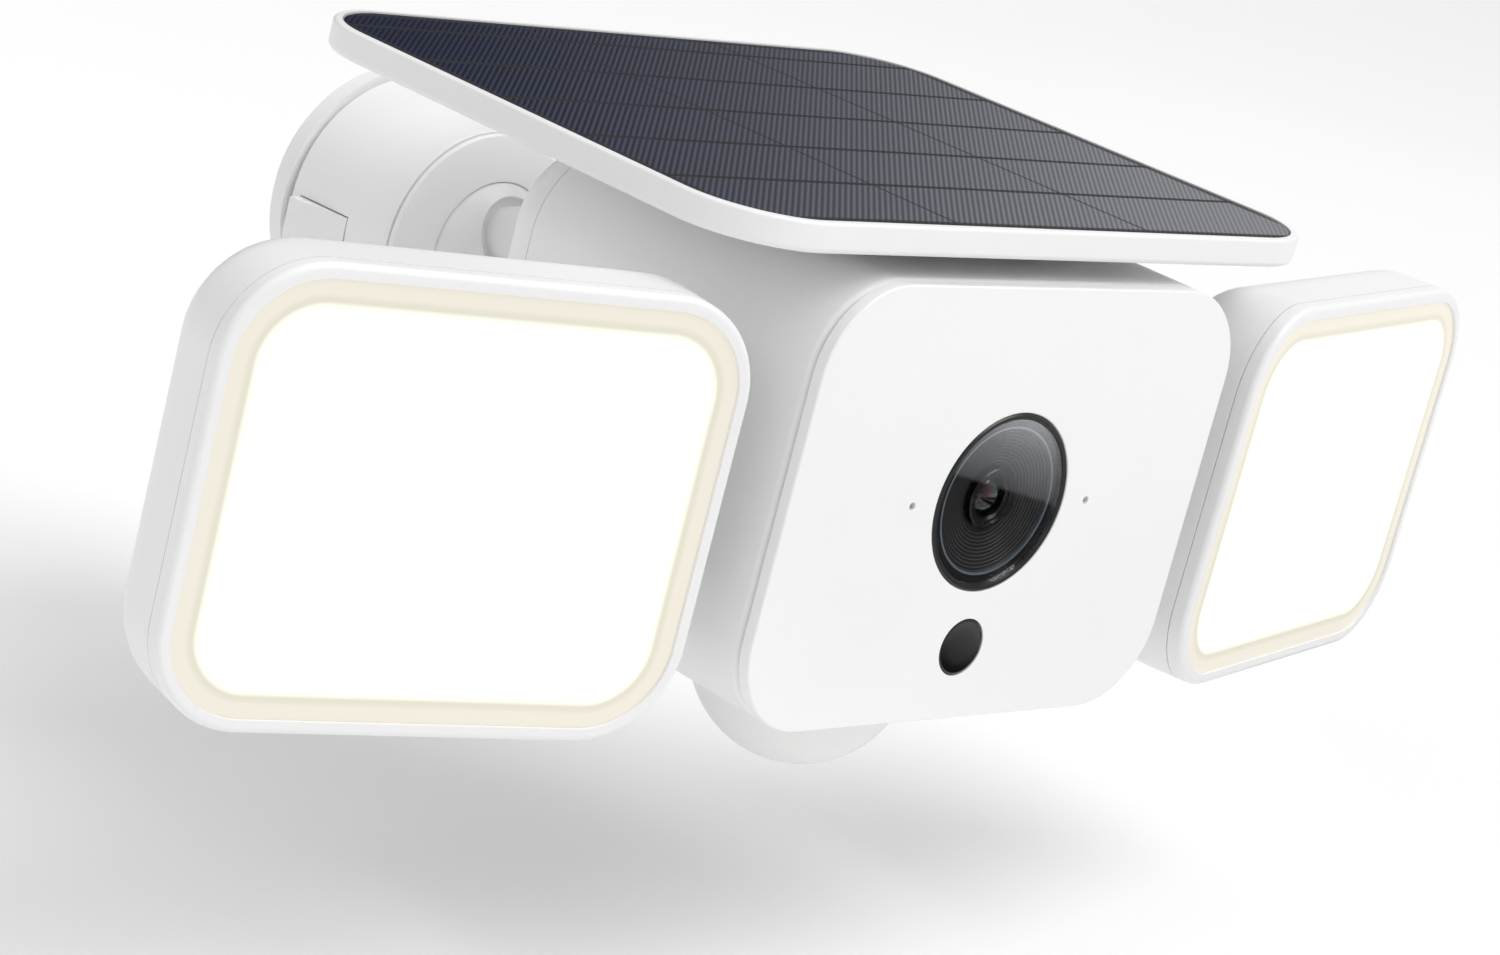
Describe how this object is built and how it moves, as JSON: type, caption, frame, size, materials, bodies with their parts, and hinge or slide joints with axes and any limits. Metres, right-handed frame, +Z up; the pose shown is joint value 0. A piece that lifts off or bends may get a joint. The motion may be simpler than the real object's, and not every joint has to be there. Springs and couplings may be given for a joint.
{
  "type": "floodlight security camera",
  "caption": "Wall-mounted security camera with swivelling floodlight heads, a flat solar panel on top and a ball-jointed wall bracket.",
  "frame": {"origin": "centre of the wall mount's back face, on the wall plane", "axes": "-Y out of the wall along the camera's view, +Z up, +X to the right as seen from in front of the camera"},
  "size_m": [0.3428, 0.194, 0.1218],
  "materials": {
    "white_shell": "satin moulded",
    "faceplate": "fine satin gloss",
    "dome_plastic": "smooth translucent",
    "grey_plastic": "fine matt",
    "black_plastic": "matt",
    "dark_window": "polished",
    "window_glass": "polished",
    "lens_glass": "coated",
    "seal_rubber": "soft",
    "flap_rubber": "soft",
    "steel": "machined",
    "cast_metal": "smooth satin coat",
    "sink_metal": "extruded",
    "circuit_board": "solder mask",
    "led_board": "white solder mask",
    "reflector_white": "gloss",
    "diffuser": "opal",
    "copper_trace": "plated",
    "cell_sleeve": "shrink sleeve",
    "solar_cells": "laminated, fine ribbed face"
  },
  "bodies": {
    "wall_mount": {"base_plate": "white_shell", "mount_shell": "white_shell", "wall_gasket": "seal_rubber", "socket_cup": "grey_plastic", "mount_screws": "steel"},
    "lock_collar": {"lock_collar": "white_shell"},
    "release_latch": {"release_latch": "white_shell"},
    "ball_liner": {"ball_liner": "black_plastic"},
    "ball_stem": {"ball_stem": "cast_metal", "stem_retainer": "steel"},
    "lock_nut": {"lock_nut": "grey_plastic"},
    "camera": {"housing_shell": "white_shell", "rear_cover": "white_shell", "panel_bracket": "white_shell", "panel_frame": "white_shell", "front_cover": "faceplate", "cover_seal": "seal_rubber", "lens_window": "window_glass", "lens_bezel": "black_plastic", "lens_baffle": "black_plastic", "lens_barrel": "black_plastic", "battery_tray": "black_plastic", "speaker": "black_plastic", "microphones": "black_plastic", "front_lens": "lens_glass", "sensor_board": "circuit_board", "light_sensor": "circuit_board", "main_board": "circuit_board", "sensor_window": "dark_window", "rear_screws": "steel", "panel_screws": "steel", "charge_port": "steel", "motion_sensor": "steel", "battery_cells": "cell_sleeve", "motion_dome": "dome_plastic", "dome_ring": "grey_plastic", "panel_back": "grey_plastic", "wifi_antennas": "copper_trace", "solar_laminate": "solar_cells"},
    "port_flap": {"port_flap": "flap_rubber"},
    "reset_button": {"reset_button": "grey_plastic"},
    "left_arm": {"left_arm": "white_shell", "left_arm_clip": "steel"},
    "left_light": {"left_hinge_pin": "steel", "left_light_shell": "white_shell", "left_heat_sink": "sink_metal", "left_led_board": "led_board", "left_reflector": "reflector_white", "left_diffuser": "diffuser"},
    "right_arm": {"right_arm": "white_shell", "right_arm_clip": "steel"},
    "right_light": {"right_hinge_pin": "steel", "right_light_shell": "white_shell", "right_heat_sink": "sink_metal", "right_led_board": "led_board", "right_reflector": "reflector_white", "right_diffuser": "diffuser"}
  },
  "joints": [
    {"name": "mount_pan", "type": "hinge", "parent": "wall_mount", "child": "ball_liner", "pos_m": [0, -0.0328, 0], "axis": [0, 0, 1], "range_deg": [-25, 25]},
    {"name": "mount_tilt", "type": "hinge", "parent": "ball_liner", "child": "ball_stem", "pos_m": [0, -0.0328, 0], "axis": [1, 0, 0], "range_deg": [-10, 45]},
    {"name": "camera_roll", "type": "hinge", "parent": "ball_stem", "child": "camera", "pos_m": [0, -0.09482, 0.02257], "axis": [0, -0.9397, 0.342], "range_deg": [-15, 15]},
    {"name": "lock_nut_turn", "type": "hinge", "parent": "ball_stem", "child": "lock_nut", "pos_m": [0, -0.09153, 0.02138], "axis": [0, -0.9397, 0.342], "range_deg": [0, 180]},
    {"name": "lock_collar_turn", "type": "hinge", "parent": "wall_mount", "child": "lock_collar", "pos_m": [0, -0.0365, 0], "axis": [0, -1, 0], "range_deg": [0, 60]},
    {"name": "release_latch_press", "type": "slide", "parent": "wall_mount", "child": "release_latch", "axis": [1, 0, 0], "range_m": [0, 0.0015], "stiffness_N_per_m": 500, "springref_m": -0.001},
    {"name": "reset_button_press", "type": "slide", "parent": "camera", "child": "reset_button", "axis": [0, 0, 1], "range_m": [0, 0.0006], "stiffness_N_per_m": 400, "springref_m": -0.001},
    {"name": "port_flap_open", "type": "hinge", "parent": "camera", "child": "port_flap", "pos_m": [0.028, -0.103, -0.015], "axis": [1, 0, 0], "range_deg": [0, 110]},
    {"name": "left_light_tilt", "type": "hinge", "parent": "camera", "child": "left_arm", "pos_m": [-0.0575, -0.161, -0.0023], "axis": [1, 0, 0], "range_deg": [-20, 35]},
    {"name": "left_light_pan", "type": "hinge", "parent": "left_arm", "child": "left_light", "pos_m": [-0.0673, -0.161, -0.0023], "axis": [0, 0, -1], "range_deg": [-20, 40]},
    {"name": "right_light_tilt", "type": "hinge", "parent": "camera", "child": "right_arm", "pos_m": [0.0575, -0.161, -0.0023], "axis": [1, 0, 0], "range_deg": [-20, 35]},
    {"name": "right_light_pan", "type": "hinge", "parent": "right_arm", "child": "right_light", "pos_m": [0.0673, -0.161, -0.0023], "axis": [0, 0, 1], "range_deg": [-20, 40]}
  ]
}
